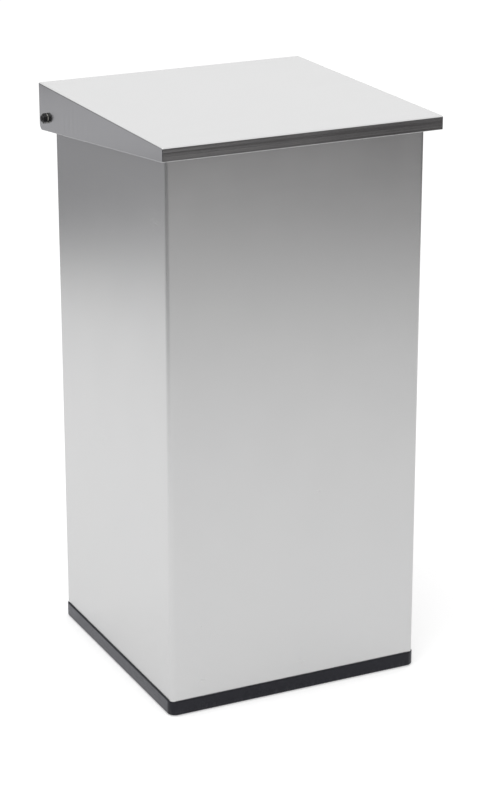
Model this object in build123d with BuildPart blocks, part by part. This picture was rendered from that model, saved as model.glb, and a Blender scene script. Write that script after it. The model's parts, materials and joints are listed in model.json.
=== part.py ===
from build123d import *

import os
from math import acos, asin, cos, degrees, pi, radians, sin, tan

os.makedirs("parts", exist_ok=True)

# A free-standing square litter bin of brushed stainless sheet with a hinged, damped lid.
# Millimetres, +Z up, front towards -Y. The origin is on the floor under the middle of the body.

# Body shell: one sheet folded into a square tube, with its seam at the rear
BODY_WIDTH = 380.0
BODY_CORNER = 7.0
SHELL_SHEET = 1.2
RIM_TOP = 800.0
SEAM_WIDTH = 0.8
SEAM_DEPTH = 0.3

# Welded inside the shell: a channel frame round the mouth and four flat strips at the foot
FRAME_CORNER = 7.0
RIM_FLANGE = 13.8
RIM_HEM = 8.0
MOUTH_CORNER = 10.0
MOUTH_ROUNDING = 0.8
FOOT_FLANGE = 13.8

# Base tray: a moulded skirt and floor under the shell
BASE_TOP = 22.0
BASE_PROUD = 2.2
BASE_CORNER = 12.0
BASE_LOWER_ROUNDING = 2.5
BASE_UPPER_ROUNDING = 1.2
BASE_LIFT = 1.0
SKIRT_WALL = 5.0
TRAY_FLOOR = 3.0
SHELL_SEAT = 9.0
FLOOR_RISE = 3.0
FLOOR_ROUNDING = 1.0
RIB_WALL = 2.5
RIB_PITCH = 62.0
RIB_COUNT = 5
SHELL_IN_BASE = 0.3

# Rubber feet in sockets under the tray
FOOT_RADIUS = 17.0
FOOT_INSET = 42.0
FOOT_EDGE = 1.0
SOCKET_WALL = 2.5
SOCKET_CLEARANCE = 0.2

# Screws that hold the foot strips down on the tray
SCREW_RADIUS = 1.75
SCREW_HEAD_RADIUS = 3.5
SCREW_HEAD_HEIGHT = 2.4
SCREW_HEAD_EDGE = 0.8
SCREW_REACH = 4.0
SCREW_POINT = 1.0
SCREW_SPACING = 220.0

# Bag frame: an angle ring that hangs in the mouth
BAG_SHEET = 1.2
BAG_FLANGE = 11.5
BAG_SKIRT = 34.0
BAG_CLEARANCE = 0.5

# Lid: one folded sheet that stands over the body on all four sides
LID_SHEET = 1.5
LID_GAP = 8.5
LID_BEND = 2.0
LID_INNER_BEND = 0.5
LID_UPRIGHT_EDGE = 1.2
SIDE_OVERHANG = 14.0
END_OVERHANG = 22.5
LIP_HEIGHT = 19.0
FLANK_REAR_HEIGHT = 68.0
FLANK_CORNER = 8.0
REAR_FLANGE = 40.0
LID_TRAVEL = 75.0

# Pivot: a shouldered stud on each side of the body, a bush in the lid, a cap nut outside
PIVOT_FROM_REAR = 27.5
PIVOT_BELOW_TOP = 46.0
STUD_RADIUS = 4.0
STUD_COLLAR_RADIUS = 7.0
STUD_CHAMFER = 0.6
BUSH_WALL = 2.0
BUSH_FLANGE = 1.2
BUSH_FLANGE_REACH = 2.95
BUSH_PROUD = 0.4
NUT_SIDES = 6
NUT_FLATS = 13.0
NUT_TURN = 30.0
NUT_HEX_HEIGHT = 5.0
NUT_DOME_RADIUS = 5.2
NUT_DOME_HEIGHT = 2.8
NUT_DOME_ROUNDING = 2.5
NUT_CHAMFER = 0.5
NUT_THREAD_DEPTH = 4.7

# Hinge plate on the outside of each side wall
PLATE_THICKNESS = 3.0
PLATE_FRONT = 46.0
PLATE_REAR = 11.0
PLATE_BELOW = 12.6
PLATE_ABOVE = 31.0
PLATE_REAR_RISE = 14.0
PLATE_SLOPE_RUN = 16.0
PLATE_ROUNDING = 4.0

# Stop pin that ends the lid's travel
STOP_RADIUS = 2.0
STOP_CIRCLE = 13.0
STOP_CHAMFER = 0.5

# Gear train: a toothed sector on the lid turns the pinion of a rotary damper
GEAR_MODULE = 1.0
PRESSURE_ANGLE = 20.0
MESH_DIRECTION = 180.0
SECTOR_TEETH = 32
PINION_TEETH = 12
ADDENDUM = 0.8
DEDENDUM = 1.0
FLANK_BACKLASH = 0.09
FLANK_SPANS = 3
TOOTH_SINK = 0.5
SECTOR_FIRST_TOOTH = -1
SECTOR_LAST_TOOTH = 8
SECTOR_THICKNESS = 4.5
SECTOR_HUB_RADIUS = 10.0
PINION_THICKNESS = 4.5

# Rotary dampers inside the side walls
DAMPER_RADIUS = 14.0
DAMPER_DEPTH = 11.0
DAMPER_WALL = 1.6
DAMPER_CAP = 1.5
DAMPER_BOSS_RADIUS = 6.0
DAMPER_BOSS_PROUD = 1.0
DAMPER_EDGE = 0.8
EAR_RADIUS = 4.3
EAR_THICKNESS = 2.0
EAR_CIRCLE = 17.8
EAR_TILT = 30.0
OIL_GAP = 0.4
SHAFT_RADIUS = 2.5
SHAFT_FLATS = 4.0
CAP_SLOT_WIDTH = 2.0
CAP_SLOT_LENGTH = 14.0
CAP_SLOT_DEPTH = 0.6

# Rivets through hinge plate, wall and damper ear
RIVET_RADIUS = 2.0
RIVET_HEAD_RADIUS = 3.4
RIVET_HEAD_HEIGHT = 1.4
RIVET_UPPER_FROM_TOP = 14.5
RIVET_UPPER_SPACING = 24.0
RIVET_UPPER_FROM_FRONT = 10.0

# Rubber buffers under the lid
BUFFER_RADIUS = 5.0
BUFFER_EDGE = 0.6
BUFFER_FROM_SIDE = 40.0
BUFFER_SIDE_FROM_FRONT = 150.0

# Clearances
RUNNING_FIT = 0.05
PRESS_SEAT = 0.02
SIDE_PLAY = 0.3
FLANK_PLAY = 0.5
FASTENER_CLEARANCE = 0.05
HOLE_CLEARANCE = 0.2
REST_GAP = 0.3

# Levels and places worked out from the sizes above
HALF_BODY = BODY_WIDTH / 2
WALL_INSIDE = HALF_BODY - SHELL_SHEET
FRAME_WIDTH = 2 * WALL_INSIDE
MOUTH_WIDTH = FRAME_WIDTH - 2 * RIM_FLANGE
FOOT_OPENING = FRAME_WIDTH - 2 * FOOT_FLANGE
STRIP_LENGTH = FRAME_WIDTH - FOOT_FLANGE
BASE_WIDTH = BODY_WIDTH + 2 * BASE_PROUD
POCKET_WIDTH = BODY_WIDTH + 2 * SHELL_IN_BASE
UNDERSIDE_WIDTH = BASE_WIDTH - 2 * SKIRT_WALL
TRAY_UNDERSIDE = SHELL_SEAT - TRAY_FLOOR
FLOOR_WIDTH = FOOT_OPENING - 2 * SHELL_IN_BASE
FOOT_PLACE = HALF_BODY - FOOT_INSET
SCREW_LINE = WALL_INSIDE - FOOT_FLANGE / 2
SCREW_SPOTS = [
    spot
    for along in (-SCREW_SPACING / 2, SCREW_SPACING / 2)
    for across in (-SCREW_LINE, SCREW_LINE)
    for spot in ((along, across), (across, along))
]

LID_UNDERSIDE = RIM_TOP + LID_GAP
LID_TOP = LID_UNDERSIDE + LID_SHEET
LID_WIDTH = BODY_WIDTH + 2 * SIDE_OVERHANG
LID_DEPTH = BODY_WIDTH + 2 * END_OVERHANG
FLANK_OUTSIDE = LID_WIDTH / 2
FLANK_INSIDE = FLANK_OUTSIDE - LID_SHEET
LID_END = LID_DEPTH / 2
LID_BOTTOM = LID_TOP - FLANK_REAR_HEIGHT
FLANGE_BOTTOM = LID_TOP - REAR_FLANGE

PIVOT_Y = LID_END - PIVOT_FROM_REAR
PIVOT_Z = LID_TOP - PIVOT_BELOW_TOP
PLATE_OUTSIDE = HALF_BODY + PLATE_THICKNESS
SECTOR_INSIDE = FLANK_INSIDE - SECTOR_THICKNESS
BUSH_INSIDE = SECTOR_INSIDE - BUSH_FLANGE
COLLAR_END = BUSH_INSIDE - SIDE_PLAY
BUSH_OUTSIDE = FLANK_OUTSIDE + BUSH_PROUD
BUSH_RADIUS = STUD_RADIUS + RUNNING_FIT + BUSH_WALL
NUT_INSIDE = BUSH_OUTSIDE + SIDE_PLAY
STUD_END = NUT_INSIDE + NUT_THREAD_DEPTH - PRESS_SEAT

SECTOR_PITCH_RADIUS = GEAR_MODULE * SECTOR_TEETH / 2
PINION_PITCH_RADIUS = GEAR_MODULE * PINION_TEETH / 2
CENTRE_DISTANCE = SECTOR_PITCH_RADIUS + PINION_PITCH_RADIUS
SECTOR_PITCH_ANGLE = 360 / SECTOR_TEETH
PINION_PITCH_ANGLE = 360 / PINION_TEETH
SECTOR_ROOT_RADIUS = SECTOR_PITCH_RADIUS - DEDENDUM * GEAR_MODULE
PINION_ROOT_RADIUS = PINION_PITCH_RADIUS - DEDENDUM * GEAR_MODULE
SECTOR_START = MESH_DIRECTION + SECTOR_FIRST_TOOTH * SECTOR_PITCH_ANGLE - SECTOR_PITCH_ANGLE / 2
SECTOR_END = MESH_DIRECTION + SECTOR_LAST_TOOTH * SECTOR_PITCH_ANGLE + SECTOR_PITCH_ANGLE / 2
PINION_OUTSIDE = FLANK_INSIDE - FLANK_PLAY
PINION_INSIDE = PINION_OUTSIDE - PINION_THICKNESS
STOP_END = PINION_OUTSIDE
ROTOR_INSIDE = WALL_INSIDE - DAMPER_DEPTH + DAMPER_CAP + SIDE_PLAY
ROTOR_OUTSIDE = WALL_INSIDE - DAMPER_WALL - SIDE_PLAY

# Spots on the side walls, as (forward or back, up or down) from the pivot.
# At the end of the travel the sector's leading edge stands a pin's radius from the stop pin's centre.
STOP_LEAD = degrees(asin((STOP_RADIUS + REST_GAP) / STOP_CIRCLE))
STOP_DIRECTION = radians(SECTOR_START - LID_TRAVEL - STOP_LEAD)
STOP_SPOT = (STOP_CIRCLE * cos(STOP_DIRECTION), STOP_CIRCLE * sin(STOP_DIRECTION))
EAR_RUN = EAR_CIRCLE * cos(radians(EAR_TILT))
EAR_RISE = EAR_CIRCLE * sin(radians(EAR_TILT))
DAMPER_SPOT = (-CENTRE_DISTANCE, 0)
EAR_SPOTS = [(-CENTRE_DISTANCE - EAR_RUN, -EAR_RISE), (-CENTRE_DISTANCE + EAR_RUN, EAR_RISE)]
UPPER_RIVET_RISE = RIM_TOP - RIVET_UPPER_FROM_TOP - PIVOT_Z
UPPER_RIVET_RUN = PLATE_FRONT - RIVET_UPPER_FROM_FRONT
UPPER_RIVET_SPOTS = [
    (-UPPER_RIVET_RUN, UPPER_RIVET_RISE),
    (RIVET_UPPER_SPACING - UPPER_RIVET_RUN, UPPER_RIVET_RISE),
]
RIVET_HOLE = RIVET_RADIUS + FASTENER_CLEARANCE

BAG_SKIRT_WIDTH = MOUTH_WIDTH - 2 * BAG_CLEARANCE
BAG_SKIRT_CORNER = MOUTH_CORNER - BAG_CLEARANCE
BAG_INNER_WIDTH = BAG_SKIRT_WIDTH - 2 * BAG_SHEET
BAG_INNER_CORNER = BAG_SKIRT_CORNER - BAG_SHEET
BAG_FLANGE_WIDTH = BAG_SKIRT_WIDTH + 2 * BAG_FLANGE
BAG_TOP = RIM_TOP + BAG_SHEET
BAG_BOTTOM = BAG_TOP - BAG_SKIRT
BUFFER_LINE = (BAG_SKIRT_WIDTH + BAG_FLANGE_WIDTH) / 4
BUFFER_BOTTOM = BAG_TOP + REST_GAP

SIDES = {"left": -1, "right": 1}
CORNERS = {
    "front_left": (-1, -1),
    "front_right": (1, -1),
    "rear_left": (-1, 1),
    "rear_right": (1, 1),
}


def pivot_plane(side, x, forward=0):
    """A plane parallel to the side walls, x from the middle, with Y and Z as its own axes.
    Its origin lies on the lid's pivot, or forward of it by the distance given."""
    return Plane(origin=(side * x, PIVOT_Y - forward, PIVOT_Z), x_dir=(0, 1, 0), z_dir=(1, 0, 0))


def square_ring(outer_width, outer_corner, inner_width, inner_corner):
    """Draws a rounded square with a rounded square opening in the sketch at hand."""
    RectangleRounded(outer_width, outer_width, outer_corner)
    RectangleRounded(inner_width, inner_width, inner_corner, mode=Mode.SUBTRACT)


def save(piece, name):
    """Names the finished piece and writes it as its own file."""
    piece.part.label = name
    export_step(piece.part, f"parts/{name}.step")


# Body shell
with BuildPart() as body_shell:
    with BuildSketch(Plane.XY.offset(SHELL_SEAT)):
        square_ring(BODY_WIDTH, BODY_CORNER, FRAME_WIDTH, BODY_CORNER - SHELL_SHEET)
    extrude(amount=RIM_TOP - SHELL_SEAT)
    # The seam down the middle of the rear wall
    with Locations((0, HALF_BODY, (SHELL_SEAT + RIM_TOP) / 2)):
        Box(SEAM_WIDTH, 2 * SEAM_DEPTH, RIM_TOP - SHELL_SEAT, mode=Mode.SUBTRACT)
    # Holes for the damper bosses and the rivets, alike in both side walls
    with BuildSketch(pivot_plane(1, 0)):
        with Locations(DAMPER_SPOT):
            Circle(DAMPER_BOSS_RADIUS + HOLE_CLEARANCE)
        with Locations(*EAR_SPOTS, *UPPER_RIVET_SPOTS):
            Circle(RIVET_HOLE)
    extrude(amount=BODY_WIDTH, both=True, mode=Mode.SUBTRACT)
save(body_shell, "body_shell")

# Rim frame: a channel, open downwards, between the shell and the mouth
with BuildPart() as rim_frame:
    with BuildSketch(Plane.XY.offset(RIM_TOP)):
        square_ring(FRAME_WIDTH, FRAME_CORNER, MOUTH_WIDTH, MOUTH_CORNER)
    extrude(amount=-RIM_HEM)
    with BuildSketch(Plane.XY.offset(RIM_TOP - SHELL_SHEET)):
        square_ring(
            FRAME_WIDTH - 2 * SHELL_SHEET,
            FRAME_CORNER - SHELL_SHEET,
            MOUTH_WIDTH + 2 * SHELL_SHEET,
            MOUTH_CORNER + SHELL_SHEET,
        )
    extrude(amount=-RIM_HEM, mode=Mode.SUBTRACT)
    mouth_edges = rim_frame.faces().sort_by(Axis.Z)[-1].inner_wires()[0].edges()
    fillet(mouth_edges, MOUTH_ROUNDING)
save(rim_frame, "rim_frame")

# Foot strips: each fills one corner of the foot and ends against the next one
for quarter, place in enumerate(("front", "right", "rear", "left")):
    with BuildPart() as foot_strip:
        with BuildSketch(Plane.XY.offset(SHELL_SEAT).rotated((0, 0, 90 * quarter))) as strip_outline:
            with Locations((-FOOT_FLANGE / 2, -SCREW_LINE)):
                Rectangle(STRIP_LENGTH, FOOT_FLANGE)
            outer_corner = strip_outline.vertices().group_by(Axis.Y)[0].sort_by(Axis.X)[0]
            fillet(outer_corner, FRAME_CORNER)
            with Locations((-SCREW_SPACING / 2, -SCREW_LINE), (SCREW_SPACING / 2, -SCREW_LINE)):
                Circle(SCREW_RADIUS + PRESS_SEAT, mode=Mode.SUBTRACT)
        extrude(amount=SHELL_SHEET)
    save(foot_strip, f"foot_strip_{place}")

# Base tray
with BuildPart() as base_tray:
    with BuildSketch(Plane.XY.offset(BASE_LIFT)):
        RectangleRounded(BASE_WIDTH, BASE_WIDTH, BASE_CORNER)
    extrude(amount=BASE_TOP - BASE_LIFT)
    fillet(base_tray.faces().sort_by(Axis.Z)[0].edges(), BASE_LOWER_ROUNDING)
    fillet(base_tray.faces().sort_by(Axis.Z)[-1].edges(), BASE_UPPER_ROUNDING)
    # The pocket that takes the foot of the shell
    with BuildSketch(Plane.XY.offset(SHELL_SEAT)):
        RectangleRounded(POCKET_WIDTH, POCKET_WIDTH, BODY_CORNER + SHELL_IN_BASE)
    extrude(amount=BASE_TOP - SHELL_SEAT, mode=Mode.SUBTRACT)
    # The raised floor inside the foot strips
    with BuildSketch(Plane.XY.offset(SHELL_SEAT)):
        RectangleRounded(FLOOR_WIDTH, FLOOR_WIDTH, MOUTH_CORNER - SHELL_IN_BASE)
    extrude(amount=FLOOR_RISE)
    raised_floor = base_tray.faces().filter_by(Axis.Z).sort_by(SortBy.AREA)[-2:].sort_by(Axis.Z)[-1]
    fillet(raised_floor.edges(), FLOOR_ROUNDING)
    # The hollow underside with its lattice of ribs
    with BuildSketch(Plane.XY.offset(BASE_LIFT)):
        RectangleRounded(UNDERSIDE_WIDTH, UNDERSIDE_WIDTH, BASE_CORNER - SKIRT_WALL)
    extrude(amount=TRAY_UNDERSIDE - BASE_LIFT, mode=Mode.SUBTRACT)
    with BuildSketch(Plane.XY.offset(BASE_LIFT)):
        with GridLocations(RIB_PITCH, 0, RIB_COUNT, 1):
            Rectangle(RIB_WALL, UNDERSIDE_WIDTH)
        with GridLocations(0, RIB_PITCH, 1, RIB_COUNT):
            Rectangle(UNDERSIDE_WIDTH, RIB_WALL)
        with GridLocations(2 * FOOT_PLACE, 2 * FOOT_PLACE, 2, 2):
            Circle(FOOT_RADIUS + SOCKET_CLEARANCE + SOCKET_WALL)
    extrude(amount=TRAY_UNDERSIDE - BASE_LIFT)
    # Sockets for the feet
    with BuildSketch(Plane.XY.offset(BASE_LIFT)):
        with GridLocations(2 * FOOT_PLACE, 2 * FOOT_PLACE, 2, 2):
            Circle(FOOT_RADIUS + SOCKET_CLEARANCE)
    extrude(amount=TRAY_UNDERSIDE - BASE_LIFT, mode=Mode.SUBTRACT)
    # Room for the screw heads, and the screw holes
    with BuildSketch(Plane.XY.offset(BASE_LIFT)):
        with Locations(*SCREW_SPOTS):
            Circle(SCREW_HEAD_RADIUS + HOLE_CLEARANCE)
    extrude(amount=TRAY_UNDERSIDE - BASE_LIFT, mode=Mode.SUBTRACT)
    with BuildSketch(Plane.XY.offset(TRAY_UNDERSIDE)):
        with Locations(*SCREW_SPOTS):
            Circle(SCREW_RADIUS + FASTENER_CLEARANCE)
    extrude(amount=TRAY_FLOOR, mode=Mode.SUBTRACT)
save(base_tray, "base_tray")

# Base screws
with BuildPart() as base_screws:
    with BuildSketch(Plane.XY.offset(TRAY_UNDERSIDE)):
        with Locations(*SCREW_SPOTS):
            Circle(SCREW_HEAD_RADIUS)
    extrude(amount=-SCREW_HEAD_HEIGHT)
    head_faces = base_screws.faces().filter_by(Axis.Z).group_by(Axis.Z)[0]
    chamfer(head_faces.edges(), SCREW_HEAD_EDGE)
    with BuildSketch(Plane.XY.offset(TRAY_UNDERSIDE)):
        with Locations(*SCREW_SPOTS):
            Circle(SCREW_RADIUS)
    extrude(amount=TRAY_FLOOR + SHELL_SHEET + SCREW_REACH)
    tip_faces = base_screws.faces().filter_by(Axis.Z).group_by(Axis.Z)[-1]
    chamfer(tip_faces.edges(), SCREW_POINT)
save(base_screws, "base_screws")

# Feet
for corner, (x_sign, y_sign) in CORNERS.items():
    with BuildPart() as foot:
        with BuildSketch(Plane.XY):
            with Locations((x_sign * FOOT_PLACE, y_sign * FOOT_PLACE)):
                Circle(FOOT_RADIUS)
        extrude(amount=TRAY_UNDERSIDE)
        chamfer(foot.faces().sort_by(Axis.Z)[0].edges(), FOOT_EDGE)
    save(foot, f"foot_{corner}")

# Bag frame
with BuildPart() as bag_frame:
    with BuildSketch(Plane.XY.offset(RIM_TOP)):
        square_ring(BAG_FLANGE_WIDTH, BAG_SKIRT_CORNER + BAG_FLANGE, BAG_INNER_WIDTH, BAG_INNER_CORNER)
    extrude(amount=BAG_SHEET)
    with BuildSketch(Plane.XY.offset(BAG_BOTTOM)):
        square_ring(BAG_SKIRT_WIDTH, BAG_SKIRT_CORNER, BAG_INNER_WIDTH, BAG_INNER_CORNER)
    extrude(amount=BAG_SKIRT - BAG_SHEET)
    bag_mouth_edges = bag_frame.faces().sort_by(Axis.Z)[-1].inner_wires()[0].edges()
    fillet(bag_mouth_edges, MOUTH_ROUNDING)
save(bag_frame, "bag_frame")

# The hollow under the lid's sheet
with BuildPart() as lid_hollow:
    with BuildSketch(Plane.XY.offset(LID_UNDERSIDE)):
        Rectangle(2 * FLANK_INSIDE, LID_DEPTH - 2 * LID_SHEET)
    extrude(amount=-FLANK_REAR_HEIGHT)
    fillet(lid_hollow.faces().sort_by(Axis.Z)[-1].edges(), LID_INNER_BEND)

# Lid: the side outline carries the lip, the tapered flanks and their rounded rear corner
with BuildPart() as lid:
    with BuildSketch(Plane.YZ) as lid_outline:
        with BuildLine():
            Polyline(
                (-LID_END, LID_TOP - LIP_HEIGHT),
                (LID_END, LID_BOTTOM),
                (LID_END, LID_TOP),
                (-LID_END, LID_TOP),
                close=True,
            )
        make_face()
        rear_corner = lid_outline.vertices().sort_by(Axis.Y)[0]
        fillet(rear_corner, FLANK_CORNER)
    extrude(amount=LID_WIDTH / 2, both=True)
    front_uprights = lid.edges().filter_by(Axis.Z).group_by(Axis.Y)[0]
    fillet(front_uprights, LID_UPRIGHT_EDGE)
    fillet(lid.faces().sort_by(Axis.Z)[-1].edges(), LID_BEND)
    add(lid_hollow.part, mode=Mode.SUBTRACT)
    # The rear flange stops short, so that it passes behind the body when the lid is up
    with BuildSketch(Plane.XZ.offset(-LID_END)):
        with Locations((0, (FLANGE_BOTTOM + LID_BOTTOM) / 2)):
            Rectangle(2 * FLANK_INSIDE, FLANGE_BOTTOM - LID_BOTTOM)
    extrude(amount=2 * LID_SHEET, both=True, mode=Mode.SUBTRACT)
    # Holes for the pivot bushes
    with BuildSketch(pivot_plane(1, 0)):
        Circle(BUSH_RADIUS + PRESS_SEAT)
    extrude(amount=LID_WIDTH, both=True, mode=Mode.SUBTRACT)
save(lid, "lid")

# Rubber buffers between the lid and the bag frame
BUFFER_POINTS = {
    "front_left": (BUFFER_FROM_SIDE - HALF_BODY, -BUFFER_LINE),
    "front_right": (HALF_BODY - BUFFER_FROM_SIDE, -BUFFER_LINE),
    "side_left": (-BUFFER_LINE, BUFFER_SIDE_FROM_FRONT - HALF_BODY),
    "side_right": (BUFFER_LINE, BUFFER_SIDE_FROM_FRONT - HALF_BODY),
}
for place, point in BUFFER_POINTS.items():
    with BuildPart() as buffer:
        with BuildSketch(Plane.XY.offset(LID_UNDERSIDE)):
            with Locations(point):
                Circle(BUFFER_RADIUS)
        extrude(amount=BUFFER_BOTTOM - LID_UNDERSIDE)
        chamfer(buffer.faces().sort_by(Axis.Z)[0].edges(), BUFFER_EDGE)
    save(buffer, f"buffer_{place}")


def involute_angle(radius, base_radius):
    """The angle, from the foot of the involute on its base circle, at which it reaches a radius."""
    pressure = acos(base_radius / radius)
    return tan(pressure) - pressure


def gear_tooth(teeth):
    """One tooth that points along the sketch's own X axis, with involute flanks down to the base circle."""
    pitch_radius = GEAR_MODULE * teeth / 2
    base_radius = pitch_radius * cos(radians(PRESSURE_ANGLE))
    tip_radius = pitch_radius + ADDENDUM * GEAR_MODULE
    root_radius = pitch_radius - DEDENDUM * GEAR_MODULE
    half_thickness = pi * GEAR_MODULE / 4 - FLANK_BACKLASH
    half_at_base = half_thickness / pitch_radius + involute_angle(pitch_radius, base_radius)
    low_radius = max(base_radius, root_radius)
    step = (tip_radius - low_radius) / FLANK_SPANS
    flank_radii = [low_radius + step * index for index in range(FLANK_SPANS + 1)]

    def flank_point(radius, hand):
        """The point of one flank at a radius; hand is 1 for the upper flank and -1 for the lower."""
        angle = half_at_base - involute_angle(radius, base_radius)
        return (radius * cos(angle), hand * radius * sin(angle))

    low_x, low_y = flank_point(low_radius, 1)
    foot_share = (root_radius - TOOTH_SINK) / low_radius
    foot = (low_x * foot_share, low_y * foot_share)
    with BuildSketch() as tooth:
        with BuildLine():
            Spline(*[flank_point(radius, 1) for radius in flank_radii])
            ThreePointArc(flank_point(tip_radius, 1), (tip_radius, 0), flank_point(tip_radius, -1))
            Spline(*[flank_point(radius, -1) for radius in reversed(flank_radii)])
            Polyline((low_x, -low_y), (foot[0], -foot[1]), foot, (low_x, low_y))
        make_face()
    return tooth.sketch


def outer_end(piece, side):
    """The piece's end face that is farthest from the middle of the bin."""
    return piece.faces().sort_by(Axis.X)[-1 if side > 0 else 0]


def inner_end(piece, side):
    """The piece's end face that is nearest to the middle of the bin."""
    return piece.faces().sort_by(Axis.X)[0 if side > 0 else -1]


sector_tooth = gear_tooth(SECTOR_TEETH)
pinion_tooth = gear_tooth(PINION_TEETH)

for side_name, side in SIDES.items():
    # Hinge plate, riveted flat on the side wall, with an ear that reaches past the rear fold
    with BuildPart() as hinge_plate:
        with BuildSketch(pivot_plane(side, HALF_BODY)) as plate_outline:
            with BuildLine():
                Polyline(
                    (-PLATE_FRONT, -PLATE_BELOW),
                    (PLATE_REAR, -PLATE_BELOW),
                    (PLATE_REAR, PLATE_REAR_RISE),
                    (PLATE_REAR - PLATE_SLOPE_RUN, PLATE_ABOVE),
                    (-PLATE_FRONT, PLATE_ABOVE),
                    close=True,
                )
            make_face()
            fillet(plate_outline.vertices(), PLATE_ROUNDING)
            Circle(STUD_RADIUS + PRESS_SEAT, mode=Mode.SUBTRACT)
            with Locations(STOP_SPOT):
                Circle(STOP_RADIUS + PRESS_SEAT, mode=Mode.SUBTRACT)
            with Locations(DAMPER_SPOT):
                Circle(DAMPER_BOSS_RADIUS + HOLE_CLEARANCE, mode=Mode.SUBTRACT)
            with Locations(*EAR_SPOTS, *UPPER_RIVET_SPOTS):
                Circle(RIVET_HOLE, mode=Mode.SUBTRACT)
        extrude(amount=side * PLATE_THICKNESS)
    save(hinge_plate, f"hinge_plate_{side_name}")

    # Pivot stud: a shank with a collar that keeps the lid's bush off the plate
    with BuildPart() as pivot_stud:
        with BuildSketch(pivot_plane(side, HALF_BODY)):
            Circle(STUD_RADIUS)
        extrude(amount=side * (STUD_END - HALF_BODY))
        chamfer(outer_end(pivot_stud, side).edges(), STUD_CHAMFER)
        with BuildSketch(pivot_plane(side, PLATE_OUTSIDE)):
            Circle(STUD_COLLAR_RADIUS)
        extrude(amount=side * (COLLAR_END - PLATE_OUTSIDE))
    save(pivot_stud, f"pivot_stud_{side_name}")

    # Stop pin
    with BuildPart() as stop_pin:
        with BuildSketch(pivot_plane(side, HALF_BODY)):
            with Locations(STOP_SPOT):
                Circle(STOP_RADIUS)
        extrude(amount=side * (STOP_END - HALF_BODY))
        chamfer(outer_end(stop_pin, side).edges(), STOP_CHAMFER)
    save(stop_pin, f"stop_pin_{side_name}")

    # Cap nut: a hexagon with a low dome, screwed on the end of the stud
    with BuildPart() as pivot_nut:
        with BuildSketch(pivot_plane(side, NUT_INSIDE)):
            RegularPolygon(NUT_FLATS / 2, NUT_SIDES, major_radius=False, rotation=NUT_TURN)
        extrude(amount=side * NUT_HEX_HEIGHT)
        chamfer(outer_end(pivot_nut, side).edges(), NUT_CHAMFER)
        with BuildSketch(pivot_plane(side, NUT_INSIDE + NUT_HEX_HEIGHT)):
            Circle(NUT_DOME_RADIUS)
        extrude(amount=side * NUT_DOME_HEIGHT)
        fillet(outer_end(pivot_nut, side).edges(), NUT_DOME_ROUNDING)
        with BuildSketch(pivot_plane(side, NUT_INSIDE)):
            Circle(STUD_RADIUS + PRESS_SEAT)
        extrude(amount=side * NUT_THREAD_DEPTH, mode=Mode.SUBTRACT)
    save(pivot_nut, f"pivot_nut_{side_name}")

    # Pivot bush, pressed through the sector and the lid's flank
    with BuildPart() as pivot_bush:
        with BuildSketch(pivot_plane(side, BUSH_INSIDE)):
            Circle(BUSH_RADIUS)
        extrude(amount=side * (BUSH_OUTSIDE - BUSH_INSIDE))
        with BuildSketch(pivot_plane(side, BUSH_INSIDE)):
            Circle(BUSH_RADIUS + BUSH_FLANGE_REACH)
        extrude(amount=side * BUSH_FLANGE)
        with BuildSketch(pivot_plane(side, BUSH_INSIDE)):
            Circle(STUD_RADIUS + RUNNING_FIT)
        extrude(amount=side * (BUSH_OUTSIDE - BUSH_INSIDE), mode=Mode.SUBTRACT)
    save(pivot_bush, f"pivot_bush_{side_name}")

    # Hinge sector, welded on the inside of the lid's flank
    with BuildPart() as hinge_sector:
        with BuildSketch(pivot_plane(side, SECTOR_INSIDE)):
            with BuildLine():
                root_arc = CenterArc(
                    (0, 0), SECTOR_ROOT_RADIUS, SECTOR_START, SECTOR_END - SECTOR_START
                )
                Line((0, 0), root_arc @ 0)
                Line((0, 0), root_arc @ 1)
            make_face()
            Circle(SECTOR_HUB_RADIUS)
            for tooth_index in range(SECTOR_FIRST_TOOTH, SECTOR_LAST_TOOTH + 1):
                tooth_direction = MESH_DIRECTION + tooth_index * SECTOR_PITCH_ANGLE
                add(sector_tooth, rotation=tooth_direction)
            Circle(BUSH_RADIUS + PRESS_SEAT, mode=Mode.SUBTRACT)
        extrude(amount=side * SECTOR_THICKNESS)
    save(hinge_sector, f"hinge_sector_{side_name}")

    # Damper pinion: the space between two of its teeth faces the sector's tooth at rest
    with BuildPart() as damper_pinion:
        with BuildSketch(pivot_plane(side, PINION_INSIDE, CENTRE_DISTANCE)):
            Circle(PINION_ROOT_RADIUS)
            for tooth_index in range(PINION_TEETH):
                add(pinion_tooth, rotation=PINION_PITCH_ANGLE * tooth_index + PINION_PITCH_ANGLE / 2)
        extrude(amount=side * PINION_THICKNESS)
        with BuildSketch(pivot_plane(side, PINION_INSIDE, CENTRE_DISTANCE)):
            Circle(SHAFT_RADIUS + PRESS_SEAT)
            Rectangle(2 * (SHAFT_RADIUS + PRESS_SEAT), SHAFT_FLATS + 2 * PRESS_SEAT, mode=Mode.INTERSECT)
        extrude(amount=side * PINION_THICKNESS, mode=Mode.SUBTRACT)
    save(damper_pinion, f"damper_pinion_{side_name}")

    # Damper housing: a cup inside the wall, two riveted ears and a boss through the wall
    with BuildPart() as damper_housing:
        with BuildSketch(pivot_plane(side, WALL_INSIDE, CENTRE_DISTANCE)):
            Circle(DAMPER_RADIUS)
        extrude(amount=-side * DAMPER_DEPTH)
        chamfer(inner_end(damper_housing, side).edges(), DAMPER_EDGE)
        with BuildSketch(pivot_plane(side, WALL_INSIDE, CENTRE_DISTANCE)):
            SlotCenterToCenter(2 * EAR_CIRCLE, 2 * EAR_RADIUS, rotation=EAR_TILT)
        extrude(amount=-side * EAR_THICKNESS)
        with BuildSketch(pivot_plane(side, WALL_INSIDE, CENTRE_DISTANCE)):
            Circle(DAMPER_BOSS_RADIUS)
        extrude(amount=side * (SHELL_SHEET + PLATE_THICKNESS + DAMPER_BOSS_PROUD))
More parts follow.
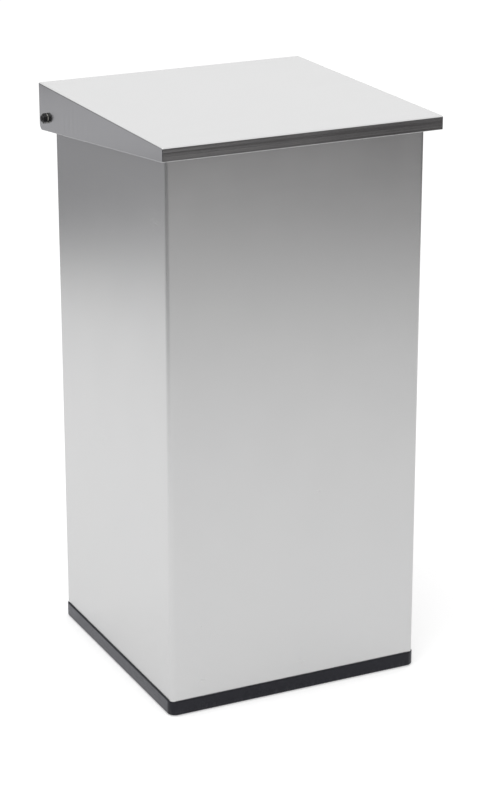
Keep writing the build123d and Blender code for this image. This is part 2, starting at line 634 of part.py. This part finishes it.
        # The chamber for the rotor, then the bore for its shaft and the rivet holes
        with BuildSketch(pivot_plane(side, WALL_INSIDE - DAMPER_WALL, CENTRE_DISTANCE)):
            Circle(DAMPER_RADIUS - DAMPER_WALL)
        extrude(amount=-side * (DAMPER_DEPTH - DAMPER_WALL), mode=Mode.SUBTRACT)
        with BuildSketch(pivot_plane(side, 0)):
            with Locations(DAMPER_SPOT):
                Circle(SHAFT_RADIUS + RUNNING_FIT)
            with Locations(*EAR_SPOTS):
                Circle(RIVET_HOLE)
        extrude(amount=side * LID_WIDTH, mode=Mode.SUBTRACT)
    save(damper_housing, f"damper_housing_{side_name}")

    # Damper cap, pressed into the mouth of the cup, with a cross for the assembly tool
    with BuildPart() as damper_cap:
        with BuildSketch(pivot_plane(side, WALL_INSIDE - DAMPER_DEPTH, CENTRE_DISTANCE)):
            Circle(DAMPER_RADIUS - DAMPER_WALL - PRESS_SEAT)
        extrude(amount=side * DAMPER_CAP)
        with BuildSketch(pivot_plane(side, WALL_INSIDE - DAMPER_DEPTH, CENTRE_DISTANCE)):
            Rectangle(CAP_SLOT_LENGTH, CAP_SLOT_WIDTH)
            Rectangle(CAP_SLOT_WIDTH, CAP_SLOT_LENGTH)
        extrude(amount=side * CAP_SLOT_DEPTH, mode=Mode.SUBTRACT)
    save(damper_cap, f"damper_cap_{side_name}")

    # Damper rotor: a drum in the oil of the chamber, on the shaft that carries the pinion
    with BuildPart() as damper_rotor:
        with BuildSketch(pivot_plane(side, ROTOR_INSIDE, CENTRE_DISTANCE)):
            Circle(DAMPER_RADIUS - DAMPER_WALL - OIL_GAP)
        extrude(amount=side * (ROTOR_OUTSIDE - ROTOR_INSIDE))
        with BuildSketch(pivot_plane(side, ROTOR_OUTSIDE, CENTRE_DISTANCE)):
            Circle(SHAFT_RADIUS)
        extrude(amount=side * (PINION_INSIDE - ROTOR_OUTSIDE))
        with BuildSketch(pivot_plane(side, PINION_INSIDE, CENTRE_DISTANCE)):
            Circle(SHAFT_RADIUS)
            Rectangle(2 * SHAFT_RADIUS, SHAFT_FLATS, mode=Mode.INTERSECT)
        extrude(amount=side * PINION_THICKNESS)
    save(damper_rotor, f"damper_rotor_{side_name}")

# Rivets: the lower two on each side also hold the damper's ears
with BuildPart() as hinge_rivets:
    for side in SIDES.values():
        for spots, grip_end in ((EAR_SPOTS, WALL_INSIDE - EAR_THICKNESS), (UPPER_RIVET_SPOTS, WALL_INSIDE)):
            with BuildSketch(pivot_plane(side, grip_end)):
                with Locations(*spots):
                    Circle(RIVET_RADIUS)
            extrude(amount=side * (PLATE_OUTSIDE - grip_end))
            with BuildSketch(pivot_plane(side, PLATE_OUTSIDE)):
                with Locations(*spots):
                    Circle(RIVET_HEAD_RADIUS)
            extrude(amount=side * RIVET_HEAD_HEIGHT)
            with BuildSketch(pivot_plane(side, grip_end)):
                with Locations(*spots):
                    Circle(RIVET_HEAD_RADIUS)
            extrude(amount=-side * RIVET_HEAD_HEIGHT)
save(hinge_rivets, "hinge_rivets")
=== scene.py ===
import json
import math

import bmesh
import bpy
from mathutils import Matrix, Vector


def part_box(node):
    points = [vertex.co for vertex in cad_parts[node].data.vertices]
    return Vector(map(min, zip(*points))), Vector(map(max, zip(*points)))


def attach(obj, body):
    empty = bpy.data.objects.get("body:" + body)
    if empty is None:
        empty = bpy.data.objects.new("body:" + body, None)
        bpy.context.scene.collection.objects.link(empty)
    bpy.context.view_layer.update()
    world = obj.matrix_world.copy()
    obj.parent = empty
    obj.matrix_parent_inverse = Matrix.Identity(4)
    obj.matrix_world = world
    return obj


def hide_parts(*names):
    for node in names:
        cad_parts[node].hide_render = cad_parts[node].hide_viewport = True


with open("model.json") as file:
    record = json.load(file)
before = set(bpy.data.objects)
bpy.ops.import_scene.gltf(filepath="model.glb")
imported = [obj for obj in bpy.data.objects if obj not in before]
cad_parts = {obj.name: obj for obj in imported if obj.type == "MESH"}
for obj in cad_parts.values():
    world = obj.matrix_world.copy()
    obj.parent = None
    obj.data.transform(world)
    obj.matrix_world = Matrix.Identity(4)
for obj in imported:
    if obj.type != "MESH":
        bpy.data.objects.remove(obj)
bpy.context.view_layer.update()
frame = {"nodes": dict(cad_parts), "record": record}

# Lengths are in metres unless a line says otherwise, and colours are linear

# Places on the frame from which the inside of a folded sheet is told apart
LID_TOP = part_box("lid")[1].z
LID_MIDDLE_DEPTH = 0.02
LID_MIDDLE = (0.0, 0.0, LID_TOP - LID_MIDDLE_DEPTH)
SHELL_LOW, SHELL_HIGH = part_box("body_shell")
SHELL_MIDDLE = (0.0, 0.0, (SHELL_LOW.z + SHELL_HIGH.z) / 2)

# Camera at the photograph's viewing angle, with its lens and sensor in millimetres
CAMERA_PLACE = (-1.4566, -3.0382, 1.5787)
CAMERA_YAW = math.radians(25.886)
CAMERA_PITCH = math.radians(19.690)
CAMERA_LENS = 113.23
CAMERA_SENSOR = 36.0
CAMERA_NEAR = 0.05
CAMERA_FAR = 200.0

# Pale floor, whose glow in the steel is graded from left to right
FLOOR_HALF = 40.0
FLOOR_TONE = 0.85
PAPER_SCALE = (30.0, 30.0, 30.0)
PAPER_DARKER = 0.99
FLOOR_GLOW = 0.42
FLOOR_GLOW_IN_STEEL = (0.31, 0.20)
FLOOR_GLOW_REACH = (-0.6, 0.9)

# Soft light from all round and one lamp above, with its power in watts
WORLD_FILL = 0.75
LAMP_PLACE = (-1.0, -0.8, 3.2)
LAMP_AIM = (0.0, 0.0, 0.4)
LAMP_WIDTH = 1.8
LAMP_POWER = 22.0

# Ring of cards that the steel reflects, each a list of heights with their colours. The dark ones show in
# the front wall, the pale ones in the left wall, and the fold's in the rounded fold between the two.
RING_RADIUS = 2.0
RING_HEIGHT = 6.0
RING_SIDES = 96
DARK_CARDS = [
    (0.0, (0.98, 0.98, 0.98)), (0.11, (0.58, 0.575, 0.57)), (0.21, (0.18, 0.174, 0.17)),
    (0.26, (0.034, 0.031, 0.032)), (0.35, (0.042, 0.039, 0.040)), (0.43, (0.112, 0.108, 0.110)),
    (0.85, (0.112, 0.108, 0.110)), (1.10, (1.02, 1.02, 1.02)), (RING_HEIGHT, (1.02, 1.02, 1.02)),
]
PALE_CARDS = [
    (0.0, (0.86, 0.86, 0.86)), (0.08, (0.30, 0.30, 0.305)), (0.20, (0.20, 0.20, 0.205)),
    (0.27, (0.45, 0.45, 0.465)), (0.42, (0.44, 0.44, 0.455)), (0.48, (0.01, 0.01, 0.01)),
    (0.85, (0.01, 0.01, 0.01)), (1.05, (1.02, 1.02, 1.02)), (RING_HEIGHT, (1.02, 1.02, 1.02)),
]
FOLD_CARDS = [
    (0.0, (0.60, 0.60, 0.60)), (0.06, (0.05, 0.05, 0.052)), (0.85, (0.03, 0.03, 0.032)),
    (1.05, (1.02, 1.02, 1.02)), (RING_HEIGHT, (1.02, 1.02, 1.02)),
]

# Directions in which the pale and the fold's cards take over from the dark ones, and the distances that
# way between which they do so, as shares of the ring's radius
PALE_AZIMUTH = math.radians(115)
PALE_TAKEOVER = (0.2, 0.9)
FOLD_AZIMUTH = math.radians(205)
FOLD_TAKEOVER = (0.7, 0.93)

# Widths of the softened edges, for the CAD nodes whose edges catch the light. Faces that turn by less than
# the flat angle are one face, and those that turn by more than the sharp angle have an edge to soften.
EDGE_WIDTHS = {
    "body_shell": 0.0003, "lid": 0.00065, "base_tray": 0.0004, "bag_frame": 0.0003, "rim_frame": 0.0003,
    "pivot_nut_left": 0.0005, "pivot_nut_right": 0.0005,
}
EDGE_SEGMENTS = 2
SHARP_ANGLE = math.radians(32)
FLAT_ANGLE = math.radians(0.6)
WELD_DISTANCE = 1e-6
LARGE_FACE_WEIGHT = 100

# Noise: the band that holds most of its values, and its plain fineness
NOISE_BAND = (0.3, 0.7)
NOISE_DETAIL = 3.0
NOISE_ROUGHNESS = 0.55

# Brushed sheet: hairlines with wider lines among them, faint clouds, smudges and a duller inside
STEEL_NOISE_ROUGHNESS = 0.5
WIDE_LINE_SCALE = 0.15
LINE_DETAIL = 1.0
LINE_BAND = (0.35, 0.65)
LINE_DARKER = 0.035
LINE_LIGHTER = 0.03
LINE_ROUGHNESS_SWING = 0.12
LINE_BUMP = 0.02
LINE_DEPTH = 0.00001
STEEL_CLOUD_SCALE = (5.0, 5.0, 5.0)
STEEL_CLOUD_DETAIL = 2.0
STEEL_CLOUD_TINT = (0.99, 0.992, 1.0)
STEEL_CLOUD_SHARE = 0.5
SMUDGE_SCALE = (16.0, 16.0, 11.0)
SMUDGE_ROUGHNESS = (-0.006, 0.01)
INSIDE_DULLER = 0.2
INSIDE_BAND = (-0.001, 0.001)

# Way in which the lid's grain runs, tilted a little so that it has an across on the flanks too
LID_GRAIN = (1.0, 0.0, 0.02)

# Turned or plated metal: rings from the tool, and stains
TURNED_RING_SCALE = (2600.0, 60.0, 60.0)
TURNED_RING_DETAIL = 2.0
TURNED_RING_ROUGHNESS = (0.8, 1.25)
TURNED_RING_BUMP = 0.15
TURNED_RING_DEPTH = 0.00003
STAIN_SCALE = (260.0, 260.0, 260.0)
STAIN_DETAIL = 4.0
STAIN_DARKER = 0.85

# Moulded plastic and rubber: grain, clouds, and dust on scuffs near the floor
MOULD_GRAIN_DETAIL = 2.0
MOULD_GRAIN_ROUGHNESS = (0.9, 1.1)
MOULD_GRAIN_BUMP = 0.25
MOULD_CLOUD_SCALE = (14.0, 14.0, 14.0)
MOULD_CLOUD_TONES = (0.86, 1.14)
MOULD_CLOUD_ROUGHNESS = (-0.03, 0.04)
SCUFF_SCALE = (420.0, 420.0, 40.0)
SCUFF_DETAIL = 4.0
SCUFF_NOISE_ROUGHNESS = 0.7
SCUFF_BAND = (0.5, 0.8)
SCUFF_HEIGHT = 0.012
DUST_TONE = (0.2, 0.2, 0.2)
DUST_SHARE = 0.35
SHEEN_ROUGHNESS = 0.35
WHITE = (1.0, 1.0, 1.0)

# Sockets of the colour mixing node, which shares its socket names among several data types
MIX_SHARE = 0
MIX_FIRST = 6
MIX_SECOND = 7
MIX_RESULT = 2


# Nodes
def link(tree, source, target):
    """Joins an output socket to an input socket."""
    tree.links.new(source, target)


def add_node(tree, kind, settings=None, **inputs):
    """Adds a node, sets its properties, and gives each input a value or a link.

    An input goes by its name with _ for each space, or by i and its number.
    """
    made = tree.nodes.new(kind)
    for key, value in (settings or {}).items():
        setattr(made, key, value)
    for key, value in inputs.items():
        index = int(key[1:]) if key[0] == "i" and key[1:].isdigit() else key.replace("_", " ")
        socket = made.inputs[index]
        if isinstance(value, bpy.types.NodeSocket):
            link(tree, value, socket)
        else:
            socket.default_value = value
    return made


def start_material(name):
    """An empty node material and its tree."""
    material = bpy.data.materials.new(name)
    material.use_nodes = True
    material.node_tree.nodes.clear()
    return material, material.node_tree


def math_node(tree, operation, first, second):
    """One arithmetic node's output."""
    return add_node(tree, "ShaderNodeMath", {"operation": operation}, i0=first, i1=second).outputs[0]


def vector_node(tree, operation, first, second=(0.0, 0.0, 0.0)):
    """One vector arithmetic node's output."""
    made = add_node(tree, "ShaderNodeVectorMath", {"operation": operation}, i0=first, i1=second)
    return made.outputs["Value" if operation == "DOT_PRODUCT" else "Vector"]


def axes_of(tree, vector):
    """The three numbers of a vector, as outputs."""
    return add_node(tree, "ShaderNodeSeparateXYZ", Vector=vector).outputs


def noise(tree, place, scale, detail=NOISE_DETAIL, roughness=NOISE_ROUGHNESS):
    """A noise value read at a place stretched by the scale of each axis."""
    stretched = add_node(tree, "ShaderNodeMapping", Vector=place, Scale=scale).outputs[0]
    return add_node(
        tree, "ShaderNodeTexNoise", Vector=stretched, Scale=1.0, Detail=detail, Roughness=roughness
    ).outputs[0]


def spread(tree, value, low, high, band=NOISE_BAND):
    """Maps a value from a band to the range from low to high, held inside it."""
    return add_node(
        tree, "ShaderNodeMapRange", {"clamp": True}, i0=value, i1=band[0], i2=band[1], i3=low, i4=high
    ).outputs[0]


def blend_colour(tree, share, first, second):
    """Mixes two colours by a share."""
    mixed = add_node(tree, "ShaderNodeMix", {"data_type": "RGBA"})
    for index, value in ((MIX_SHARE, share), (MIX_FIRST, first), (MIX_SECOND, second)):
        if isinstance(value, bpy.types.NodeSocket):
            link(tree, value, mixed.inputs[index])
        else:
            mixed.inputs[index].default_value = (*value, 1.0)
    return mixed.outputs[MIX_RESULT]


def bump(tree, height, strength, distance):
    """A normal tilted by a height field."""
    return add_node(
        tree, "ShaderNodeBump", Strength=strength, Distance=distance, Height=height
    ).outputs[0]


def light_path(tree, *kinds):
    """One where a ray is of any of the named kinds, and otherwise nought."""
    path = add_node(tree, "ShaderNodeLightPath")
    total = path.outputs[kinds[0]]
    for kind in kinds[1:]:
        total = math_node(tree, "MAXIMUM", total, path.outputs[kind])
    return total


def scaled(numbers, factor):
    """Each number times a factor."""
    return tuple(number * factor for number in numbers)


# Kinds of material
def folded_place(tree, coordinates, top):
    """Places on a sheet folded down at its edges, as if it were laid flat.

    Lines along x on the top then run down its flanks and level along its lip.
    """
    place = axes_of(tree, coordinates.outputs["Object"])
    facing = axes_of(tree, vector_node(tree, "ABSOLUTE", coordinates.outputs["Normal"]))
    depth = math_node(tree, "SUBTRACT", top, place["Z"])
    along = math_node(tree, "ADD", place["X"], math_node(tree, "MULTIPLY", depth, facing["X"]))
    across = math_node(tree, "SUBTRACT", place["Y"], math_node(tree, "MULTIPLY", depth, facing["Y"]))
    return add_node(tree, "ShaderNodeCombineXYZ", X=along, Y=across, Z=0.0).outputs[0]


def brushed_lines(tree, place, hairlines, wide_share):
    """Hairlines mixed with wider lines, and the wider ones alone."""
    fine = noise(tree, place, hairlines, LINE_DETAIL, STEEL_NOISE_ROUGHNESS)
    wide = noise(tree, place, scaled(hairlines, WIDE_LINE_SCALE), LINE_DETAIL, STEEL_NOISE_ROUGHNESS)
    mixed = math_node(
        tree, "ADD", math_node(tree, "MULTIPLY", fine, 1 - wide_share),
        math_node(tree, "MULTIPLY", wide, wide_share),
    )
    return mixed, wide


def brushed_colour(tree, place, lines, tone, contrast):
    """A sheet's tone with darker and lighter lines, and faint cool clouds."""
    dark = scaled(tone, 1 - LINE_DARKER * contrast)
    light = scaled(tone, 1 + LINE_LIGHTER * contrast)
    lined = blend_colour(tree, spread(tree, lines, 0.0, 1.0, LINE_BAND), dark, light)
    cool = tuple(channel * tint for channel, tint in zip(tone, STEEL_CLOUD_TINT))
    cloud = noise(tree, place, STEEL_CLOUD_SCALE, STEEL_CLOUD_DETAIL, STEEL_NOISE_ROUGHNESS)
    return blend_colour(tree, spread(tree, cloud, 0.0, STEEL_CLOUD_SHARE), lined, cool)


def brushed_roughness(tree, place, lines, roughness, contrast):
    """A roughness that swings with the lines and has faint smudges."""
    swing = LINE_ROUGHNESS_SWING * contrast
    lined = spread(tree, lines, roughness * (1 - swing), roughness * (1 + swing), LINE_BAND)
    smudge = noise(tree, place, SMUDGE_SCALE, NOISE_DETAIL, STEEL_NOISE_ROUGHNESS)
    return math_node(tree, "ADD", lined, spread(tree, smudge, *SMUDGE_ROUGHNESS))


def duller_inside(tree, coordinates, middle):
    """What the mill finish adds to the roughness, on faces that are turned towards a middle point."""
    outward = vector_node(tree, "SUBTRACT", coordinates.outputs["Object"], middle)
    facing = vector_node(tree, "DOT_PRODUCT", outward, coordinates.outputs["Normal"])
    return spread(tree, facing, INSIDE_DULLER, 0.0, INSIDE_BAND)


def brushed_steel(name, tone, roughness, hairlines, anisotropy, contrast=1.0, wide_share=0.25,
                  folded_top=None, middle=None):
    """Brushed stainless sheet, with its grain level round upright walls.

    A folded_top is the height from which the sheet is folded down, and its grain goes over the folds.
    A sheet round a middle point is brushed outside and keeps its duller mill finish inside.
    """
    material, tree = start_material(name)
    coordinates = add_node(tree, "ShaderNodeTexCoord")
    place = coordinates.outputs["Object"]
    if folded_top is None:
        grain_place = place
        tangent = add_node(tree, "ShaderNodeCombineXYZ", Z=1.0).outputs[0]
    else:
        grain_place = folded_place(tree, coordinates, folded_top)
        normal = add_node(tree, "ShaderNodeNewGeometry").outputs["Normal"]
        tangent = vector_node(tree, "CROSS_PRODUCT", normal, LID_GRAIN)
    lines, wide_lines = brushed_lines(tree, grain_place, hairlines, wide_share)
    rough = brushed_roughness(tree, place, lines, roughness, contrast)
    if middle is not None:
        rough = math_node(tree, "ADD", rough, duller_inside(tree, coordinates, middle))
    shader = add_node(
        tree, "ShaderNodeBsdfPrincipled",
        Base_Color=brushed_colour(tree, place, lines, tone, contrast), Metallic=1.0, Roughness=rough,
        Anisotropic=anisotropy, Tangent=tangent,
        Normal=bump(tree, wide_lines, LINE_BUMP * contrast, LINE_DEPTH),
    )
    add_node(tree, "ShaderNodeOutputMaterial", Surface=shader.outputs[0])
    return material


def turned_metal(name, tone, roughness):
    """Turned or plated small metal parts, with faint rings and stains."""
    material, tree = start_material(name)
    place = add_node(tree, "ShaderNodeTexCoord").outputs["Object"]
    rings = noise(tree, place, TURNED_RING_SCALE, TURNED_RING_DETAIL)
    stain = noise(tree, place, STAIN_SCALE, STAIN_DETAIL)
    smooth, coarse = scaled(TURNED_RING_ROUGHNESS, roughness)
    shader = add_node(
        tree, "ShaderNodeBsdfPrincipled",
        Base_Color=blend_colour(tree, spread(tree, stain, 0.0, 1.0), scaled(tone, STAIN_DARKER), tone),
        Metallic=1.0, Roughness=spread(tree, rings, smooth, coarse),
        Normal=bump(tree, rings, TURNED_RING_BUMP, TURNED_RING_DEPTH),
    )
    add_node(tree, "ShaderNodeOutputMaterial", Surface=shader.outputs[0])
    return material


def dusty_scuffs(tree, place, share):
    """How much dust lies on a place: the share at most, in scuffs that fade out above the floor."""
    scuffs = noise(tree, place, SCUFF_SCALE, SCUFF_DETAIL, SCUFF_NOISE_ROUGHNESS)
    low_down = spread(tree, axes_of(tree, place)["Z"], 1.0, 0.0, (0.0, SCUFF_HEIGHT))
    scuffed = math_node(tree, "MULTIPLY", low_down, spread(tree, scuffs, 0.0, 1.0, SCUFF_BAND))
    return math_node(tree, "MULTIPLY", scuffed, share)


def moulded(name, tone, roughness, grain_scale, grain_depth, ior=1.5, dust=DUST_SHARE,
            gloss_tint=WHITE, sheen=0.0):
    """Moulded plastic or rubber: fine grain, soft cloudiness, and a little dust near the floor."""
    material, tree = start_material(name)
    place = add_node(tree, "ShaderNodeTexCoord").outputs["Object"]
    grain = noise(tree, place, (grain_scale, grain_scale, grain_scale), MOULD_GRAIN_DETAIL)
    cloud = noise(tree, place, MOULD_CLOUD_SCALE)
    dark, light = (scaled(tone, factor) for factor in MOULD_CLOUD_TONES)
    clouded = blend_colour(tree, spread(tree, cloud, 0.0, 1.0), dark, light)
    smooth, coarse = scaled(MOULD_GRAIN_ROUGHNESS, roughness)
    rough = math_node(
        tree, "ADD", spread(tree, grain, smooth, coarse), spread(tree, cloud, *MOULD_CLOUD_ROUGHNESS)
    )
    tint = (*gloss_tint, 1.0)
    shader = add_node(
        tree, "ShaderNodeBsdfPrincipled",
        Base_Color=blend_colour(tree, dusty_scuffs(tree, place, dust), clouded, DUST_TONE),
        Roughness=rough, IOR=ior, Specular_Tint=tint,
        Sheen_Weight=sheen, Sheen_Roughness=SHEEN_ROUGHNESS, Sheen_Tint=tint,
        Normal=bump(tree, grain, MOULD_GRAIN_BUMP, grain_depth),
    )
    add_node(tree, "ShaderNodeOutputMaterial", Surface=shader.outputs[0])
    return material


# Materials
def steel_body():
    """Walls of the body, whose hairlines are too fine to tell apart."""
    return brushed_steel(
        "steel_body", tone=(0.64, 0.64, 0.64), roughness=0.26, hairlines=(50.0, 50.0, 2000.0),
        anisotropy=0.6, contrast=0.15, wide_share=0.5, middle=SHELL_MIDDLE,
    )


def steel_lid():
    """The folded lid, brighter and with streaks that show on its lip and flanks."""
    return brushed_steel(
        "steel_lid", tone=(0.70, 0.70, 0.70), roughness=0.16, hairlines=(3.0, 1100.0, 1.0),
        anisotropy=0.35, contrast=1.6, wide_share=0.5, folded_top=LID_TOP, middle=LID_MIDDLE,
    )


def steel_satin():
    """Frames, strips, plates, toothed sectors and rivets in a plain mill finish."""
    return brushed_steel(
        "steel_satin", tone=(0.56, 0.555, 0.55), roughness=0.36, hairlines=(90.0, 90.0, 1400.0),
        anisotropy=0.3,
    )


def steel_turned():
    """Studs, pins and rotors."""
    return turned_metal("steel_turned", tone=(0.52, 0.52, 0.53), roughness=0.24)


def zinc_plate():
    """Bright zinc plating of the screws."""
    return turned_metal("zinc_plate", tone=(0.6, 0.61, 0.62), roughness=0.3)


def plastic_base():
    """The base tray, near black, with a bluish gloss at low angles."""
    return moulded(
        "plastic_base", tone=(0.005, 0.005, 0.0075), roughness=0.28, grain_scale=2600.0,
        grain_depth=0.00003, ior=1.38, gloss_tint=(0.88, 0.89, 1.0), sheen=0.5,
    )


def plastic_nut():
    """Cap nuts, black and half glossy."""
    return moulded(
        "plastic_nut", tone=(0.008, 0.008, 0.009), roughness=0.34, grain_scale=1800.0,
        grain_depth=0.00001, ior=1.4,
    )


def plastic_damper():
    """Housings and caps of the dampers."""
    return moulded(
        "plastic_damper", tone=(0.02, 0.02, 0.021), roughness=0.42, grain_scale=2000.0,
        grain_depth=0.00004,
    )


def rubber():
    """Feet and buffers, black and matt."""
    return moulded(
        "rubber", tone=(0.018, 0.018, 0.018), roughness=0.72, grain_scale=1500.0, grain_depth=0.00008
    )


def nylon():
    """Bushes and pinions, off-white and out of the dust."""
    return moulded(
        "nylon", tone=(0.76, 0.75, 0.7), roughness=0.42, grain_scale=1200.0, grain_depth=0.00003,
        dust=0.0,
    )


MATERIALS = {
    "brushed_stainless_body": steel_body(),
    "brushed_stainless_lid": steel_lid(),
    "satin_stainless": steel_satin(),
    "turned_steel": steel_turned(),
    "zinc_screw": zinc_plate(),
    "black_base": plastic_base(),
    "black_cap_nut": plastic_nut(),
    "black_damper": plastic_damper(),
    "black_rubber": rubber(),
    "white_nylon": nylon(),
}
SLOT_OF = {part["node"]: part["material_slot"] for part in frame["record"]["subparts"]}
BODY_OF = {
    node: body for body, nodes in frame["record"]["behaviour"]["bodies"].items() for node in nodes
}


# Pieces
def add_object(name, data):
    """A new object in the scene."""
    made = bpy.data.objects.new(name, data)
    bpy.context.scene.collection.objects.link(made)
    return made


def finish_nodes():
    """Gives every CAD node its slot's material."""
    for node, cad in frame["nodes"].items():
        for material_slot in cad.material_slots:
            material_slot.material = MATERIALS[SLOT_OF[node]]


def joined_faces(source, name):
    """A smooth-shaded copy of a mesh in which flat triangles are joined into whole faces."""
    mesh = bmesh.new()
    mesh.from_mesh(source)
    bmesh.ops.remove_doubles(mesh, verts=mesh.verts, dist=WELD_DISTANCE)
    bmesh.ops.dissolve_limit(
        mesh, angle_limit=FLAT_ANGLE, verts=mesh.verts, edges=mesh.edges, use_dissolve_boundaries=False
    )
    data = bpy.data.meshes.new(name)
    mesh.to_mesh(data)
    mesh.free()
    for face in data.polygons:
        face.use_smooth = True
    return data


def dress(node, edge_width):
    """Shows a CAD node by a finer copy, with its edges softened and its normals weighted."""
    name = f"{node}_skin"
    joined = joined_faces(frame["nodes"][node].data, name)
    piece = add_object(name, joined)
    soften = piece.modifiers.new("soften", "BEVEL")
    soften.width = edge_width
    soften.segments = EDGE_SEGMENTS
    soften.limit_method = "ANGLE"
    soften.angle_limit = SHARP_ANGLE
    soften.use_clamp_overlap = True
    weigh = piece.modifiers.new("weigh", "WEIGHTED_NORMAL")
    weigh.keep_sharp = True
    weigh.weight = LARGE_FACE_WEIGHT
    bpy.context.view_layer.update()
    softened = piece.evaluated_get(bpy.context.evaluated_depsgraph_get())
    piece.data = bpy.data.meshes.new_from_object(softened)
    piece.modifiers.clear()
    bpy.data.meshes.remove(joined)
    piece.data.name = name
    piece.data.materials.clear()
    piece.data.materials.append(MATERIALS[SLOT_OF[node]])
    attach(piece, BODY_OF[node])
    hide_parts(node)


# Studio
def make_floor():
    """A pale floor that looks white, and that the steel reflects darker towards the right."""
    data = bpy.data.meshes.new("studio_floor")
    size = FLOOR_HALF
    data.from_pydata(
        [(-size, -size, 0), (size, -size, 0), (size, size, 0), (-size, size, 0)], [], [(0, 1, 2, 3)]
    )
    material, tree = start_material("pale_floor")
    place = add_node(tree, "ShaderNodeTexCoord").outputs["Object"]
    paper = noise(tree, place, PAPER_SCALE)
    white = (FLOOR_TONE, FLOOR_TONE, FLOOR_TONE)
    tone = blend_colour(tree, spread(tree, paper, 0.0, 1.0), scaled(white, PAPER_DARKER), white)
    diffuse = add_node(tree, "ShaderNodeBsdfDiffuse", Color=tone)
    seen = light_path(tree, "Is Camera Ray", "Is Glossy Ray", "Is Transmission Ray")
    in_steel = light_path(tree, "Is Glossy Ray")
    steel_glow = spread(tree, axes_of(tree, place)["X"], *FLOOR_GLOW_IN_STEEL, FLOOR_GLOW_REACH)
    missing = math_node(tree, "SUBTRACT", FLOOR_GLOW, steel_glow)
    strength = math_node(
        tree, "SUBTRACT", math_node(tree, "MULTIPLY", seen, FLOOR_GLOW),
        math_node(tree, "MULTIPLY", in_steel, missing),
    )
    glow = add_node(tree, "ShaderNodeEmission", Color=(*WHITE, 1.0), Strength=strength)
    both = add_node(tree, "ShaderNodeAddShader", i0=diffuse.outputs[0], i1=glow.outputs[0])
    add_node(tree, "ShaderNodeOutputMaterial", Surface=both.outputs[0])
    data.materials.append(material)
    floor = add_object("studio_floor", data)


def card_ramp(tree, height, stops):
    """Card colours by height, which is given as a share of the ring's height.

    The first and last stop are the ends that a new ramp already has.
    """
    ramp = add_node(tree, "ShaderNodeValToRGB", i0=height)
    for level, _ in stops[1:-1]:
        ramp.color_ramp.elements.new(level / RING_HEIGHT)
    for element, (_, colour) in zip(ramp.color_ramp.elements, stops):
        element.color = (*colour, 1.0)
    return ramp.outputs[0]


def takeover(tree, place, azimuth, shares):
    """Rises from nought to one as a place lies further towards an azimuth."""
    direction = (math.cos(azimuth), math.sin(azimuth), 0.0)
    toward = vector_node(tree, "DOT_PRODUCT", place, direction)
    return spread(tree, toward, 0.0, 1.0, scaled(shares, RING_RADIUS))


def card_light():
    """The ring's glow, whose colours change with the height and with the direction."""
    material, tree = start_material("card_light")
    place = add_node(tree, "ShaderNodeTexCoord").outputs["Object"]
    height = math_node(tree, "DIVIDE", axes_of(tree, place)["Z"], RING_HEIGHT)
    colour = blend_colour(
        tree, takeover(tree, place, PALE_AZIMUTH, PALE_TAKEOVER),
        card_ramp(tree, height, DARK_CARDS), card_ramp(tree, height, PALE_CARDS),
    )
    colour = blend_colour(
        tree, takeover(tree, place, FOLD_AZIMUTH, FOLD_TAKEOVER),
        colour, card_ramp(tree, height, FOLD_CARDS),
    )
    glow = add_node(tree, "ShaderNodeEmission", Color=colour, Strength=1.0)
    add_node(tree, "ShaderNodeOutputMaterial", Surface=glow.outputs[0])
    return material


def make_ring():
    """A tall round wall of cards that shows in reflections alone."""
    turns = [2 * math.pi * step / RING_SIDES for step in range(RING_SIDES)]
    points = [
        (RING_RADIUS * math.cos(turn), RING_RADIUS * math.sin(turn), height)
        for height in (0.0, RING_HEIGHT) for turn in turns
    ]
    faces = []
    for step in range(RING_SIDES):
        after = (step + 1) % RING_SIDES
        faces.append((after, step, RING_SIDES + step, RING_SIDES + after))
    data = bpy.data.meshes.new("studio_cards")
    data.from_pydata(points, [], faces)
    data.materials.append(card_light())
    ring = add_object("studio_cards", data)
    ring.visible_camera = False
    ring.visible_diffuse = False
    ring.visible_shadow = False
    ring.visible_transmission = False


def make_world():
    """A white surround that is dimmer as a light than where it is seen."""
    world = bpy.data.worlds.new("studio_world")
    bpy.context.scene.world = world
    world.use_nodes = True
    tree = world.node_tree
    tree.nodes.clear()
    seen = light_path(tree, "Is Camera Ray", "Is Glossy Ray", "Is Transmission Ray")
    strength = spread(tree, seen, WORLD_FILL, 1.0, (0.0, 1.0))
    surround = add_node(tree, "ShaderNodeBackground", Color=(*WHITE, 1.0), Strength=strength)
    add_node(tree, "ShaderNodeOutputWorld", Surface=surround.outputs[0])


def make_lamp():
    """A soft square lamp above the camera's side of the bin."""
    data = bpy.data.lights.new("lamp_top", "AREA")
    data.shape = "SQUARE"
    data.size = LAMP_WIDTH
    data.energy = LAMP_POWER
    lamp = add_object("lamp_top", data)
    lamp.location = LAMP_PLACE
    lamp.rotation_euler = (Vector(LAMP_AIM) - Vector(LAMP_PLACE)).to_track_quat("-Z", "Y").to_euler()


def make_camera():
    """The camera, level from side to side and turned down by its pitch."""
    data = bpy.data.cameras.new("camera")
    data.sensor_width = CAMERA_SENSOR
    data.lens = CAMERA_LENS
    data.clip_start = CAMERA_NEAR
    data.clip_end = CAMERA_FAR
    camera = add_object("camera", data)
    camera.location = CAMERA_PLACE
    camera.rotation_euler = (math.pi / 2 - CAMERA_PITCH, 0.0, -CAMERA_YAW)
    bpy.context.scene.camera = camera


finish_nodes()
for node_name, width in EDGE_WIDTHS.items():
    dress(node_name, width)
make_floor()
make_ring()
make_world()
make_lamp()
make_camera()
bpy.context.scene.view_settings.view_transform = "Standard"
